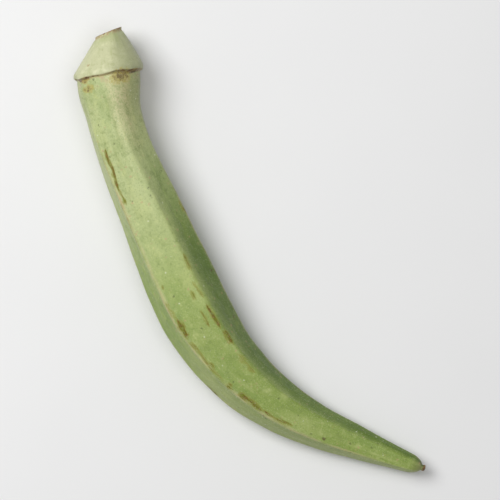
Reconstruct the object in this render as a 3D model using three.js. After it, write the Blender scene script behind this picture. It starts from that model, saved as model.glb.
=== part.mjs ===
// One okra pod, as picked, lying on its side. Millimetres, +Z up.
//
// The seed pod, the cone-shaped cap that it hung from and the cut stump of its stalk grew as one fruit,
// so they are one solid. A spine runs from the cut to the tip, and an upright section stands across it
// at each station: nearly round on the cap, six-ribbed on the pod.
//
// +X runs from the cap towards the tip, +Y points into the hollow of the bow, and the origin is on the
// table, under the middle of the pod's box.

import * as THREE from "three";

// Stations along the spine, counted from the cut
const podLength = 140;
const capFullAt = 8.9;
const ringAt = 10;
const neckAt = 12;
const shoulderTo = 20;
const swellFrom = 20;
const bellyAt = 71;
const beakAt = 108;
const stumpLength = 0.6;
const lipDepth = 0.5;
const endRounding = 3;
const nibLength = 1.6;

// Radii, measured to the ribs
const bellyRadius = 8.8;
const neckRadius = 6.9;
const shoulderRadius = 7.7;
const ringRadius = 8.4;
const stumpRadius = 3.1;
const tipRadius = 1.8;
const nibRadius = 0.8;

// How the radius grows over the cap and shrinks from the belly to the tip
const capSwell = 0.92;
const taperPower = 1.3;

// The bow, seen from above: the spine's heading at the cut, and the bends that it turns through
const startHeading = -37.4;
const bends = [
  { from: 0, to: 36, turn: 25 },
  { from: 58, to: 124, turn: 46 },
];

// The pod rests on the underside of its ring and on its lowest face, and its beak lifts a little
const ringHeight = 7.95;
const facePress = 0.25;
const beakLift = 2.5;

// Ribs as angles round the spine: 0 faces +Y and 90 faces up. They wind round the pod towards its ends,
// and a soft one has a broad rounded shoulder.
const ribs = [
  { angle: 3, softness: 0.24 },
  { angle: 61, softness: 0.34 },
  { angle: 124, softness: 0.18 },
  { angle: 180, softness: 0.22 },
  { angle: 240, softness: 0.26 },
  { angle: 300, softness: 0.26 },
];
const windingToCap = 20;
const windingEndsAt = 86;
const windingToTip = 8;
const faceFlatness = 0.7;
const crestHeight = 0.024;
const crestWidth = 0.2;
const stepsPerFace = 8;

// How strongly the ribs stand out on the cap, on the neck and at the tip, against 1 on the belly
const capRibbing = 0.12;
const neckRibbing = 0.2;
const tipRibbing = 0.5;
const fullRibsAt = 42;

// The cap's two slants, in degrees: the knife's cut, and the ring where the flower's leaves fell off
const cutSlant = 24;
const ringSlant = 7;
const slantEndsAt = 24;
const ringWaves = [
  { height: 0.14, count: 3, phase: 1 },
  { height: 0.13, count: 7, phase: 2.2 },
];
const waveReach = 1.6;

const degrees = Math.PI / 180;
const clamp = (value) => THREE.MathUtils.clamp(value, 0, 1);
const ease = (value) => THREE.MathUtils.smoothstep(value, 0, 1);
const mix = THREE.MathUtils.lerp;

function headingAt(s) {
  const turned = bends.map(({ from, to, turn }) => turn * ease((s - from) / (to - from)));
  return degrees * turned.reduce((sum, turn) => sum + turn, startHeading);
}

// Radius to the ribs before the tip is rounded off
function bodyRadius(s) {
  if (s < bellyAt) {
    const shoulder = (shoulderRadius - neckRadius) * (1 - ease((s - neckAt) / (shoulderTo - neckAt)));
    return shoulder + mix(neckRadius, bellyRadius, ease((s - swellFrom) / (bellyAt - swellFrom)));
  }
  const along = (s - bellyAt) / (podLength - bellyAt);
  return mix(bellyRadius, tipRadius, along ** taperPower);
}

// A blunt end: the share of the radius left, this close to a rounded end
function rounded(s, end, length) {
  const into = clamp((s - end + length) / length);
  return Math.sqrt(1 - into * into);
}

function radiusAt(s) {
  if (s < ringAt) {
    const up = clamp((s - stumpLength) / (capFullAt - stumpLength));
    return mix(stumpRadius, ringRadius, up ** capSwell);
  }
  const pod = bodyRadius(s) * rounded(s, podLength - nibLength / 2, endRounding);
  const nib = nibRadius * rounded(s, podLength, nibLength);
  return mix(ringRadius, Math.max(pod, nib), ease((s - ringAt) / lipDepth));
}

function ribbingAt(s) {
  const onPod = mix(neckRibbing, 1, ease((s - neckAt) / (fullRibsAt - neckAt)));
  const onBeak = mix(1, tipRibbing, ease((s - beakAt) / (podLength - beakAt)));
  return s <= ringAt ? capRibbing : onPod * onBeak;
}

function windingAt(s) {
  const toCap = windingToCap * (1 - ease((s - ringAt) / (windingEndsAt - ringAt)));
  return toCap + windingToTip * ease((s - beakAt) / (podLength - beakAt));
}

// 0 on a rib and 1 mid-face, as fromRib is, but level at the rib, so that the rib is rounded
function softened(fromRib, softness) {
  return (Math.hypot(fromRib, softness) - softness) / (Math.hypot(1, softness) - softness);
}

// The section's radius as a share: 1 on a rib, less between ribs. fromRib is 0 on a rib, 1 mid-face.
function sectionShare(faceSpan, fromRib, ribbing, softness) {
  const half = (faceSpan / 2) * degrees;
  const chord = Math.cos(half) / Math.cos(half * (1 - softened(fromRib, softness)));
  const crest = 1 - Math.exp(-((fromRib / crestWidth) ** 2));
  return 1 - ribbing * (faceFlatness * (1 - chord) + crestHeight * crest);
}

// Height of the spine over the table
const faceShare = sectionShare(360 / ribs.length, 1, 1, 0);
function spineHeight(s) {
  const overFace = faceShare * bodyRadius(Math.max(s, bellyAt)) - facePress;
  const lift = beakLift * ease((s - beakAt) / (podLength - beakAt)) ** 2;
  return mix(ringHeight, overFace, ease((s - ringAt) / (bellyAt - ringAt))) + lift;
}

// The slants and the ring's uneven edge push a section along the spine. It is 0 well down the pod.
function pushAlong(s, angle, radius) {
  const onCap = mix(cutSlant, ringSlant, clamp(s / ringAt));
  const slant = onCap * (1 - ease((s - ringAt) / (slantEndsAt - ringAt)));
  const waves = ringWaves.map(({ height, count, phase }) => height * Math.sin(count * angle + phase));
  const ragged = waves.reduce((sum, wave) => sum + wave, 0);
  const nearRing = Math.exp(-(((s - ringAt) / waveReach) ** 2));
  return ragged * nearRing - Math.tan(slant * degrees) * radius * Math.cos(angle);
}

// The spine as points a short step apart, walked from the cut to the tip
const walkStep = 0.25;
const walk = [new THREE.Vector2(0, 0)];
for (let s = walkStep / 2; s < podLength; s += walkStep) {
  const heading = headingAt(s);
  const stride = new THREE.Vector2(Math.cos(heading), Math.sin(heading)).multiplyScalar(walkStep);
  walk.push(stride.add(walk.at(-1)));
}

function spinePoint(s) {
  const index = Math.min(Math.floor(s / walkStep), walk.length - 2);
  return walk[index].clone().lerp(walk[index + 1], s / walkStep - index);
}

// One point of the skin, at an angle round the spine and a distance from it
function skinPoint(s, angle, radius) {
  const heading = headingAt(s);
  const along = pushAlong(s, angle, radius);
  const across = radius * Math.cos(angle);
  const centre = spinePoint(s);
  const x = centre.x + along * Math.cos(heading) - across * Math.sin(heading);
  const y = centre.y + along * Math.sin(heading) + across * Math.cos(heading);
  const z = spineHeight(s) + radius * Math.sin(angle);
  return [x, y, Math.max(z, 0)];
}

function spaced(from, to, count) {
  return Array.from({ length: count }, (_, i) => mix(from, to, i / (count - 1)));
}

// The cut face is a shallow dish: each row's depth under its rim, and its share of the stump's radius
const cutDepth = 0.55;
const cutFace = [
  { s: 0.5, share: 0.3 },
  { s: 0.15, share: 0.62 },
  { s: 0, share: 0.9 },
];

// The rows of the skin: round the stump, over the cap, under the ring's lip, down the pod, round the tip
const roundingAt = podLength - endRounding - nibLength;
const stations = [
  ...spaced(0.2, stumpLength, 3),
  ...spaced(1.6, ringAt, 9),
  ...spaced(ringAt + lipDepth / 4, ringAt + lipDepth, 4),
  ...spaced(neckAt, roundingAt, 52),
  ...spaced(roundingAt + 1.2, podLength - 0.02, 9),
];
const rows = [
  ...cutFace.map(({ s, share }) => ({ s, radius: share * stumpRadius })),
  ...stations.map((s) => ({ s, radius: radiusAt(s) })),
];

const positions = [];
for (const { s, radius } of rows) {
  const winding = windingAt(s);
  ribs.forEach((rib, face) => {
    const next = ribs[(face + 1) % ribs.length];
    const span = (next.angle - rib.angle + 360) % 360;
    for (let step = 0; step < stepsPerFace; step++) {
      const acrossFace = step / stepsPerFace;
      const fromRib = 1 - Math.abs(2 * acrossFace - 1);
      const { softness } = acrossFace < 0.5 ? rib : next;
      const angle = (rib.angle + span * acrossFace + winding) * degrees;
      const share = sectionShare(span, fromRib, ribbingAt(s), softness);
      positions.push(...skinPoint(s, angle, radius * share));
    }
  });
}
const cutCentre = positions.length / 3;
positions.push(...skinPoint(cutDepth, 0, 0));
const tipEnd = cutCentre + 1;
positions.push(...skinPoint(podLength, 0, 0));

const around = ribs.length * stepsPerFace;
const lastRow = (rows.length - 1) * around;
const faces = [];
for (let i = 0; i < around; i++) {
  const next = (i + 1) % around;
  faces.push(cutCentre, next, i);
  for (let row = 0; row < lastRow; row += around) {
    faces.push(row + i, row + next, row + around + next);
    faces.push(row + i, row + around + next, row + around + i);
  }
  faces.push(tipEnd, lastRow + i, lastRow + next);
}

const skin = new THREE.BufferGeometry();
skin.setAttribute("position", new THREE.Float32BufferAttribute(positions, 3));
skin.setIndex(faces);
skin.computeVertexNormals();

// Sets the origin on the table under the middle of the pod's box
skin.computeBoundingBox();
const middle = skin.boundingBox.getCenter(new THREE.Vector3());
skin.translate(-middle.x, -middle.y, -skin.boundingBox.min.z);

const podSkin = new THREE.MeshStandardMaterial({ color: 0x98ab62, roughness: 0.62, metalness: 0 });
const pod = new THREE.Mesh(skin, podSkin);
pod.name = "okra_pod";

const okra = new THREE.Group();
okra.add(pod);

export default okra;
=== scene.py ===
"""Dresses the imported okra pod: its ribbed skin, ring scar, cut stump, dried nib and down.

The skin follows the same spine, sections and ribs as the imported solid, at a finer pitch and with the
small relief that the solid leaves out. Sizes here are in millimetres until a mesh is made, which is in
metres. A station is a distance along the spine from the cut, and an angle goes round the spine: 0 faces
+Y, into the hollow of the bow, and 90 faces up.
"""

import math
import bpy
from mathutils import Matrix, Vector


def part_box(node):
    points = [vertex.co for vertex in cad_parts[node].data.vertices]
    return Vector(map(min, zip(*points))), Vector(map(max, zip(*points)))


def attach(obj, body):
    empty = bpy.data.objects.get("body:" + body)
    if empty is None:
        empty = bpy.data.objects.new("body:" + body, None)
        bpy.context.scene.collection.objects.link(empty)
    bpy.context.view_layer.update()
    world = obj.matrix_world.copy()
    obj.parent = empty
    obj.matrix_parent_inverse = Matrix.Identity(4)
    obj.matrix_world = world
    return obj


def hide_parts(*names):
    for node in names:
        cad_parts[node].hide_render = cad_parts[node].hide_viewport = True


bl_info = {
    "name": "Okra pod",
    "version": (1, 0, 0),
    "blender": (4, 5, 0),
    "location": "View3D > Sidebar > Okra",
    "description": "Dresses the packed okra pod with its skin, ring scar, cut stump, nib and down",
    "category": "Object",
}

import bpy
import numpy as np
from mathutils import Vector, noise

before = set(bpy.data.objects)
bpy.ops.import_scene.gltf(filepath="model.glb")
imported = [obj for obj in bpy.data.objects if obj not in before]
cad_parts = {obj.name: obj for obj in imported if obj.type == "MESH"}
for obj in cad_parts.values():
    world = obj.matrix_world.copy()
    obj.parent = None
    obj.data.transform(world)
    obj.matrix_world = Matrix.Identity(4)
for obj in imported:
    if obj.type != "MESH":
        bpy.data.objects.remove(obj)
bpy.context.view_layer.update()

MM = 0.001
NODE = "okra_pod"
BODY = "root"

# Stations along the spine
POD_LENGTH = 140
CAP_FULL_AT = 8.9
RING_AT = 10
NECK_AT = 12
SHOULDER_TO = 20
SWELL_FROM = 20
BELLY_AT = 71
BEAK_AT = 108
STUMP_LENGTH = 0.6
LIP_DEPTH = 0.5
END_ROUNDING = 3
NIB_LENGTH = 1.6

# Radii, measured to the ribs
BELLY_RADIUS = 8.8
NECK_RADIUS = 6.9
SHOULDER_RADIUS = 7.7
RING_RADIUS = 8.4
STUMP_RADIUS = 3.1
TIP_RADIUS = 1.8
NIB_RADIUS = 0.8
CAP_SWELL = 0.92
TAPER_POWER = 1.3

# The bow: the spine's heading at the cut, and the bends as (from, to, turn in degrees)
START_HEADING = -37.4
BENDS = [(0, 36, 25), (58, 124, 46)]
WALK_STEP = 0.25
BOX_ROWS = 400

# How the pod lies: on the underside of its ring and on its lowest face, with its beak a little up
RING_HEIGHT = 7.95
FACE_PRESS = 0.25
BEAK_LIFT = 2.5

# Ribs
RIB_ANGLES = [3, 61, 124, 180, 240, 300]
RIB_SOFTNESS = np.array([0.24, 0.34, 0.18, 0.22, 0.26, 0.26])
INNER_RIB, OUTER_RIB = 1, 2
WINDING_TO_CAP = 20
WINDING_ENDS_AT = 86
WINDING_TO_TIP = 8
FACE_FLATNESS = 0.7
CREST_HEIGHT = 0.024
CREST_WIDTH = 0.2
CAP_RIBBING = 0.12
NECK_RIBBING = 0.2
TIP_RIBBING = 0.5
FULL_RIBS_AT = 42

# The cap's two slants, and the ring's uneven edge as waves of (height, count, phase)
CUT_SLANT = 24
RING_SLANT = 7
SLANT_ENDS_AT = 24
RING_WAVES = [(0.14, 3, 1), (0.13, 7, 2.2)]
WAVE_REACH = 1.6


def ease(value):
    value = np.clip(value, 0, 1)
    return value * value * (3 - 2 * value)


def fade(s, start, end):
    """Rises softly from 0 at one station to 1 at another."""
    return ease((s - start) / (end - start))


def mix(low, high, share):
    return low + (high - low) * share


def bell(distance, width):
    """1 at no distance, falling softly to 0 past the width."""
    return np.exp(-((distance / width) ** 2))


# The form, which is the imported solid's


def heading_at(s):
    turned = sum(turn * fade(s, start, end) for start, end, turn in BENDS)
    return np.radians(START_HEADING + turned)


def body_radius(s):
    shoulder = (SHOULDER_RADIUS - NECK_RADIUS) * (1 - fade(s, NECK_AT, SHOULDER_TO))
    grown = shoulder + mix(NECK_RADIUS, BELLY_RADIUS, fade(s, SWELL_FROM, BELLY_AT))
    along = np.clip((s - BELLY_AT) / (POD_LENGTH - BELLY_AT), 0, 1)
    return np.where(s < BELLY_AT, grown, mix(BELLY_RADIUS, TIP_RADIUS, along**TAPER_POWER))


def rounded(s, end, length):
    """The share of the radius left, this close to a rounded end."""
    into = np.clip((s - end + length) / length, 0, 1)
    return np.sqrt(1 - into * into)


def radius_at(s):
    up = np.clip((s - STUMP_LENGTH) / (CAP_FULL_AT - STUMP_LENGTH), 0, 1)
    cap = mix(STUMP_RADIUS, RING_RADIUS, up**CAP_SWELL)
    pod = body_radius(s) * rounded(s, POD_LENGTH - NIB_LENGTH / 2, END_ROUNDING)
    nib = NIB_RADIUS * rounded(s, POD_LENGTH, NIB_LENGTH)
    below = mix(RING_RADIUS, np.maximum(pod, nib), ease((s - RING_AT) / LIP_DEPTH))
    return np.where(s < RING_AT, cap, below)


def ribbing_at(s):
    on_pod = mix(NECK_RIBBING, 1, fade(s, NECK_AT, FULL_RIBS_AT))
    on_beak = mix(1, TIP_RIBBING, fade(s, BEAK_AT, POD_LENGTH))
    return np.where(s <= RING_AT, CAP_RIBBING, on_pod * on_beak)


def winding_at(s):
    to_cap = WINDING_TO_CAP * (1 - fade(s, RING_AT, WINDING_ENDS_AT))
    return to_cap + WINDING_TO_TIP * fade(s, BEAK_AT, POD_LENGTH)


def softened(from_rib, softness):
    """0 on a rib and 1 mid-face, as from_rib is, but level at the rib, so that the rib is rounded."""
    return (np.hypot(from_rib, softness) - softness) / (np.hypot(1, softness) - softness)


def section_share(face_span, from_rib, ribbing, softness):
    """The radius as a share: 1 on a rib, less between ribs. from_rib is 0 on a rib, 1 mid-face."""
    half = np.radians(face_span / 2)
    chord = np.cos(half) / np.cos(half * (1 - softened(from_rib, softness)))
    crest = 1 - bell(from_rib, CREST_WIDTH)
    return 1 - ribbing * (FACE_FLATNESS * (1 - chord) + CREST_HEIGHT * crest)


def spine_height(s):
    face_share = section_share(360 / len(RIB_ANGLES), 1, 1, 0)
    over_face = face_share * body_radius(np.maximum(s, BELLY_AT)) - FACE_PRESS
    lift = BEAK_LIFT * fade(s, BEAK_AT, POD_LENGTH) ** 2
    return mix(RING_HEIGHT, over_face, fade(s, RING_AT, BELLY_AT)) + lift


def push_along(s, angle, radius):
    """The slants and the ring's uneven edge push a section along the spine."""
    on_cap = mix(CUT_SLANT, RING_SLANT, np.clip(s / RING_AT, 0, 1))
    slant = on_cap * (1 - fade(s, RING_AT, SLANT_ENDS_AT))
    ragged = sum(height * np.sin(count * angle + phase) for height, count, phase in RING_WAVES)
    near_ring = bell(s - RING_AT, WAVE_REACH)
    return ragged * near_ring - np.tan(np.radians(slant)) * radius * np.cos(angle)


walk_stations = np.arange(0, POD_LENGTH + WALK_STEP / 2, WALK_STEP)
strides = heading_at(walk_stations[:-1] + WALK_STEP / 2)
walk_x = np.concatenate([[0], np.cumsum(np.cos(strides) * WALK_STEP)])
walk_y = np.concatenate([[0], np.cumsum(np.sin(strides) * WALK_STEP)])


def form_points(s, angle, radius):
    """Points at an angle round the spine and a radius from it, before they are set on the origin."""
    heading = heading_at(s)
    along = push_along(s, angle, radius)
    across = radius * np.cos(angle)
    x = np.interp(s, walk_stations, walk_x) + along * np.cos(heading) - across * np.sin(heading)
    y = np.interp(s, walk_stations, walk_y) + along * np.sin(heading) + across * np.cos(heading)
    z = spine_height(s) + radius * np.sin(angle)
    return np.stack(np.broadcast_arrays(x, y, z), axis=-1)


def columns(steps_per_face):
    """For each column of the skin: its nearest rib, its angle, and its face's span, in degrees."""
    ribs, angles, spans, shares = [], [], [], []
    for number, rib in enumerate(RIB_ANGLES):
        following = (number + 1) % len(RIB_ANGLES)
        span = (RIB_ANGLES[following] - rib) % 360
        for step in range(steps_per_face):
            share = step / steps_per_face
            ribs.append(number if share < 0.5 else following)
            angles.append(rib + span * share)
            spans.append(span)
            shares.append(share)
    return np.array(ribs), np.array(angles), np.array(spans), np.array(shares)


def plain_skin(s, steps_per_face=8):
    """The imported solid's own skin at these stations, before it is set on the origin."""
    number, angles, spans, shares = columns(steps_per_face)
    s = np.asarray(s, float)[:, None]
    from_rib = 1 - np.abs(2 * shares - 1)
    angle = np.radians(angles + winding_at(s))
    share = section_share(spans, from_rib, ribbing_at(s), RIB_SOFTNESS[number])
    return form_points(s, angle, radius_at(s) * share)


def shift_to_origin():
    """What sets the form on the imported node's place: its box's middle in X and Y."""
    plain = plain_skin(np.linspace(0, POD_LENGTH, BOX_ROWS)).reshape(-1, 3)
    middle = (plain.min(axis=0) + plain.max(axis=0)) / 2
    low, high = (np.array(corner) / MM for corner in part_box(NODE))
    shift = (low + high) / 2 - middle
    shift[2] = 0
    return shift


SHIFT = shift_to_origin()


def placed(points):
    """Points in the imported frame, none of them under the table."""
    points = points + SHIFT
    points[..., 2] = np.maximum(points[..., 2], 0)
    return points


# Helpers for relief, meshes and materials

# How far apart the noises of two seeds are read
SEEDS_APART = 17.3


def relief(points, kind):
    """Soft noise at each point, of a kind that is (depth, feature size, seed)."""
    depth, size, seed = kind
    flat = np.asarray(points, float).reshape(-1, 3) / size + seed * SEEDS_APART
    values = [noise.noise(Vector(point)) for point in flat]
    return depth * np.array(values).reshape(np.shape(points)[:-1])


def turns_of(count):
    """Angles in even steps once round."""
    return np.linspace(0, 2 * math.pi, count, endpoint=False)


def circle_points(theta, radius, height=0):
    """Points on a level circle, which noise is read at so that it closes on itself."""
    return np.stack([radius * np.cos(theta), radius * np.sin(theta), np.full(len(theta), height)], axis=-1)


def on_spine(*stations):
    """Points on the spine itself."""
    return placed(form_points(np.array(stations), np.zeros(len(stations)), np.zeros(len(stations))))


def add_mesh(name, points, faces, material, attributes=None):
    """A smooth mesh piece from points in millimetres, riding on the pod's body."""
    mesh = bpy.data.meshes.new(name)
    mesh.from_pydata((np.asarray(points).reshape(-1, 3) * MM).tolist(), [], faces)
    for key, values in (attributes or {}).items():
        values = np.asarray(values, float)
        vector = values.shape[-1] == 3 and values.ndim > 1
        attribute = mesh.attributes.new(key, "FLOAT_VECTOR" if vector else "FLOAT", "POINT")
        attribute.data.foreach_set("vector" if vector else "value", values.ravel())
    mesh.materials.append(material)
    mesh.polygons.foreach_set("use_smooth", [True] * len(mesh.polygons))
    mesh.validate()
    mesh.update()
    piece = bpy.data.objects.new(name, mesh)
    bpy.context.scene.collection.objects.link(piece)
    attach(piece, BODY)
    return piece


def tube_faces(rows, around):
    """Quads between neighbouring rows of a closed tube, whose normals face out."""
    faces = []
    for row in range(rows - 1):
        start = row * around
        for i in range(around):
            following = (i + 1) % around
            faces.append([start + i, start + following, start + around + following, start + around + i])
    return faces


def closed_tube(grid, ends):
    """A tube's points and faces, with fans that close its ends on two more points."""
    rows, around = grid.shape[:2]
    faces = tube_faces(rows, around)
    first_end = rows * around
    last_row = first_end - around
    for i in range(around):
        following = (i + 1) % around
        faces.append([first_end, following, i])
        faces.append([first_end + 1, last_row + i, last_row + following])
    return np.concatenate([grid.reshape(-1, 3), ends]), faces


def wrap_map(piece, rows, around):
    """The map that a bake uses: along the piece and round it, with its seam on the last column."""
    layer = piece.data.uv_layers.new(name="OFBake")
    first_end = rows * around
    for polygon in piece.data.polygons:
        corners = [piece.data.loops[i].vertex_index for i in polygon.loop_indices]
        places = [corner % around for corner in corners if corner < first_end]
        full_turn = around if max(places) - min(places) > around / 2 else 0
        for loop, corner in zip(polygon.loop_indices, corners):
            if corner < first_end:
                row = corner // around + 1
                column = corner % around or full_turn
            else:
                row = 0 if corner == first_end else rows + 1
                column = sum(place or full_turn for place in places) / len(places)
            layer.data[loop].uv = (row / (rows + 1), column / around)


# The brightest value of a colour as seen
BRIGHTEST = 255


def linear(color):
    """A colour as seen, as the linear values that a shader takes, by the usual formula of screens."""
    shares = [value / BRIGHTEST for value in color]
    return [s / 12.92 if s <= 0.04045 else ((s + 0.055) / 1.055) ** 2.4 for s in shares] + [1]


# How far a spot's edge strays, as a share of its size
SPOT_FRAYING = 0.45


class Graph:
    """A material's nodes, built from the inside out. Each method gives back the socket that it makes."""

    def __init__(self, name, roughness=0.5, specular=0.4, sheen=0.0, sheen_roughness=0.45):
        self.material = bpy.data.materials.new(name)
        self.material.use_nodes = True
        self.tree = self.material.node_tree
        self.surface = self.tree.nodes["Principled BSDF"]
        self.surface.inputs["Roughness"].default_value = roughness
        self.surface.inputs["Specular IOR Level"].default_value = specular
        self.surface.inputs["Sheen Weight"].default_value = sheen
        self.surface.inputs["Sheen Roughness"].default_value = sheen_roughness

    def node(self, kind, inputs=None, **settings):
        made = self.tree.nodes.new(kind)
        for key, value in settings.items():
            setattr(made, key, value)
        for key, value in (inputs or {}).items():
            if isinstance(value, bpy.types.NodeSocket):
                self.tree.links.new(value, made.inputs[key])
            else:
                made.inputs[key].default_value = value
        return made

    def attribute(self, name, output="Fac"):
        return self.node("ShaderNodeAttribute", attribute_name=name).outputs[output]

    def millimetres(self):
        """The place on the piece, in millimetres."""
        place = self.node("ShaderNodeTexCoord").outputs["Object"]
        return self.node("ShaderNodeVectorMath", {0: place, 3: 1 / MM}, operation="SCALE").outputs[0]

    def axis(self, vector, name):
        return self.node("ShaderNodeSeparateXYZ", {0: vector}).outputs[name]

    def stretched(self, vector, size):
        """The vector divided by a feature size, which is one number or one for each axis."""
        sizes = np.full(3, size, float).tolist()
        return self.node("ShaderNodeVectorMath", {0: vector, 1: sizes}, operation="DIVIDE").outputs[0]

    def noise(self, vector, size, detail=3.0, roughness=0.55):
        inputs = {"Vector": self.stretched(vector, size), "Scale": 1.0}
        inputs.update({"Detail": detail, "Roughness": roughness})
        return self.node("ShaderNodeTexNoise", inputs).outputs["Fac"]

    def spots(self, vector, spacing, radius, kept, seed=0.0):
        """Small uneven spots: one in each cell of this spacing, kept in only this share of the cells."""
        moved = self.node("ShaderNodeVectorMath", {0: vector, 1: [seed] * 3}, operation="ADD").outputs[0]
        inputs = {"Vector": self.stretched(moved, spacing), "Scale": 1.0}
        cells = self.node("ShaderNodeTexVoronoi", inputs)
        size = radius / spacing
        distance = self.frayed(cells.outputs["Distance"], self.noise(moved, radius), SPOT_FRAYING * size)
        draw = self.axis(cells.outputs["Color"], "X")
        return self.times(self.band(distance, size, size / 2), self.math("LESS_THAN", draw, kept))

    def frayed(self, value, texture, reach):
        """The value pushed up or down by a noise, so that a mark that follows it has a ragged edge."""
        return self.math("ADD", value, self.spread(texture, -reach, reach))

    def spread(self, texture, low, high):
        """Runs softly from low to high over most of a noise's range."""
        return self.band(texture, 0.3, 0.7, low, high)

    def band(self, value, start, end, low=0.0, high=1.0):
        """Runs softly from low to high as the value goes from start to end, and holds outside them."""
        inputs = {"Value": value, "From Min": start, "From Max": end, "To Min": low, "To Max": high}
        return self.node("ShaderNodeMapRange", inputs, interpolation_type="SMOOTHSTEP").outputs[0]

    def math(self, operation, first, second=0.0):
        return self.node("ShaderNodeMath", {0: first, 1: second}, operation=operation).outputs[0]

    def times(self, *values):
        product = values[0]
        for value in values[1:]:
            product = self.math("MULTIPLY", product, value)
        return product

    def ramp(self, value, stops):
        """Colours along a value. Each stop is (place, colour as seen)."""
        made = self.node("ShaderNodeValToRGB", {"Fac": value})
        elements = made.color_ramp.elements
        while len(elements) < len(stops):
            elements.new(1)
        for element, (place, color) in zip(elements, stops):
            element.position = place
            element.color = linear(color)
        return made.outputs["Color"]

    def over(self, below, color, share, mode="MIX"):
        """A colour laid over another by a share from 0 to 1."""
        made = self.node("ShaderNodeMix", data_type="RGBA", blend_type=mode)
        for key, value in (("Factor", share), ("A", below), ("B", color)):
            socket = next(s for s in made.inputs if s.name == key and s.enabled)
            if isinstance(value, bpy.types.NodeSocket):
                self.tree.links.new(value, socket)
            else:
                socket.default_value = linear(value) if key != "Factor" else value
        return next(s for s in made.outputs if s.enabled)

    def layered(self, color, layers):
        """Colours laid over one another in turn, each as (colour, share)."""
        for laid, share in layers:
            color = self.over(color, laid, share)
        return color

    def finish(self, color, roughness=None, height=None, depth=0.0):
        """Links the results. Height runs from 0 to 1 over this depth in millimetres."""
        self.tree.links.new(color, self.surface.inputs["Base Color"])
        if roughness is not None:
            self.tree.links.new(roughness, self.surface.inputs["Roughness"])
        if height is not None:
            bump = self.node("ShaderNodeBump", {"Height": height, "Strength": 1.0, "Distance": depth * MM})
            self.tree.links.new(bump.outputs[0], self.surface.inputs["Normal"])
        return self.material


def color_property(name, description, default):
    return bpy.props.FloatVectorProperty(
        name=name,
        description=description,
        default=[value / BRIGHTEST for value in default],
        subtype="COLOR_GAMMA",
        min=0,
        max=1,
    )


def amount_property(name, description, default, **kind):
    return bpy.props.FloatProperty(name=name, description=description, default=default, min=0, **kind)


def as_seen(color):
    return [value * BRIGHTEST for value in color]


# Skin

SKIN_STEPS = 32
WALL_DEPTH = 1.7
WALL_SHARE = 0.85
RIM_ROW = 0.08
TIP_ROW = POD_LENGTH - 0.02
LEAST_RADIUS = 0.05

# Rows of the skin, as (from, to, steps): the cut's rim, the cap, the ring's lip, the pod and its tip
ROUNDING_AT = POD_LENGTH - END_ROUNDING - NIB_LENGTH
SKIN_STRETCHES = [
    (RIM_ROW, STUMP_LENGTH, 8),
    (STUMP_LENGTH, RING_AT, 31),
    (RING_AT, NECK_AT, 16),
    (NECK_AT, ROUNDING_AT, 309),
    (ROUNDING_AT, TIP_ROW, 27),
]

# Relief, as (depth, feature size, seed). A size of three numbers is along the pod and round it.
BROAD_DENTS = (0.16, (16, 7, 7), 1)
SMALL_DENTS = (0.05, (5, 2.4, 2.4), 2)
SKIN_FIBRES = (0.035, (9, 0.75, 0.75), 3)
UNEVEN_CRESTS = (0.14, (7, 3, 3), 4)
CAP_DENTS = (0.1, (5, 2.2, 2.2), 6)
CAP_FIBRES = (0.05, (4, 0.8, 0.8), 7)
RING_CRUMBS = (0.16, (1, 1.3, 1.3), 8)
RING_CRUMBS_WIDTH = 0.5
POD_RELIEF_FADE = 6
CAP_RELIEF_FADE = 1.2
BEAK_SMOOTH_FROM, BEAK_SMOOTH_FADE = 135, 4

# The seeds swell the skin between the ribs, in rows that are shifted from face to face
SEED_PITCH = 5.6
SEED_ROWS_FROM, SEED_ROWS_TO = 30, 116
SEED_FADE_IN, SEED_FADE_OUT = 12, 14
SEED_SHIFT = 0.37
SEED_WIDTH = 0.5
SEED_DRIFT = (0.25, (24, 30, 30), 5)

# Each rib wanders from its even winding, in degrees
RIB_WANDER = (1.6, 22, 9)
RIBS_APART = 20.0
WANDER_FADE_IN, WANDER_FADE_OUT = 15, 20

# How pale the crest of each rib is, partly as a painted highlight, and how wide against a face
RIB_PALENESS_AND_HIGHLIGHT = np.array([0.8, 0.4, 1.0, 0.7, 0.8, 0.6])
PALE_CREST_WIDTH = 0.22

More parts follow.
